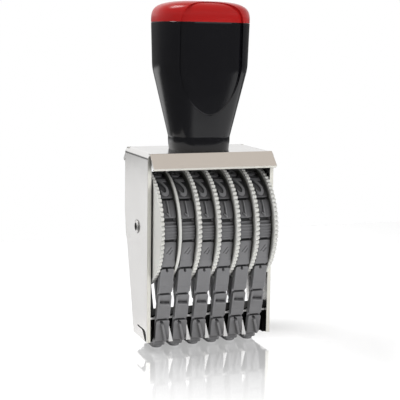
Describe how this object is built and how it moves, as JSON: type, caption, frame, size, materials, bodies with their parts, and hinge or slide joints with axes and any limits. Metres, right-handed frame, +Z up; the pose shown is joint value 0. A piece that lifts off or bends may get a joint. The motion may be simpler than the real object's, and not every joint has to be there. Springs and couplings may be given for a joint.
{
  "type": "numbering machine",
  "caption": "Hand numbering stamp: rubber character bands on serrated thumb wheels in a bent steel frame, with a moulded upright handle and a print bar at the foot.",
  "frame": {"origin": "on the rest plane, straight below the middle of the wheel axle, which is the bottom centre of the bounding box", "axes": "+X to the right across the bands, +Y to the back, +Z up along the handle; the user faces the -Y side"},
  "size_m": [0.0716, 0.0626, 0.1815],
  "materials": {
    "nickel": "polished nickel plate",
    "steel": "satin",
    "brass": "machined",
    "handle_black": "satin moulded",
    "cap_red": "glossy moulded",
    "ivory": "smooth moulded",
    "band_grey": "matte",
    "bar_black": "satin black"
  },
  "bodies": {
    "stamp_frame": {"frame": "nickel", "handle_body": "handle_black", "handle_cap": "cap_red", "handle_insert": "brass", "handle_screw": "steel", "handle_washer": "steel", "axle": "nickel", "axle_washers": "steel", "spacer_disc": "ivory", "print_bar": "bar_black", "bar_rod": "steel", "band_1": "band_grey", "band_2": "band_grey", "band_3": "band_grey", "band_4": "band_grey", "band_5": "band_grey", "band_6": "band_grey"},
    "thumb_wheel_1": {"wheel_1": "ivory"},
    "thumb_wheel_2": {"wheel_2": "ivory"},
    "thumb_wheel_3": {"wheel_3": "ivory"},
    "thumb_wheel_4": {"wheel_4": "ivory"},
    "thumb_wheel_5": {"wheel_5": "ivory"},
    "thumb_wheel_6": {"wheel_6": "ivory"}
  },
  "joints": [
    {"name": "wheel_1_turn", "type": "hinge", "parent": "stamp_frame", "child": "thumb_wheel_1", "pos_m": [0, 0, 0.064], "axis": [1, 0, 0], "continuous": true},
    {"name": "wheel_2_turn", "type": "hinge", "parent": "stamp_frame", "child": "thumb_wheel_2", "pos_m": [0, 0, 0.064], "axis": [1, 0, 0], "continuous": true},
    {"name": "wheel_3_turn", "type": "hinge", "parent": "stamp_frame", "child": "thumb_wheel_3", "pos_m": [0, 0, 0.064], "axis": [1, 0, 0], "continuous": true},
    {"name": "wheel_4_turn", "type": "hinge", "parent": "stamp_frame", "child": "thumb_wheel_4", "pos_m": [0, 0, 0.064], "axis": [1, 0, 0], "continuous": true},
    {"name": "wheel_5_turn", "type": "hinge", "parent": "stamp_frame", "child": "thumb_wheel_5", "pos_m": [0, 0, 0.064], "axis": [1, 0, 0], "continuous": true},
    {"name": "wheel_6_turn", "type": "hinge", "parent": "stamp_frame", "child": "thumb_wheel_6", "pos_m": [0, 0, 0.064], "axis": [1, 0, 0], "continuous": true}
  ]
}
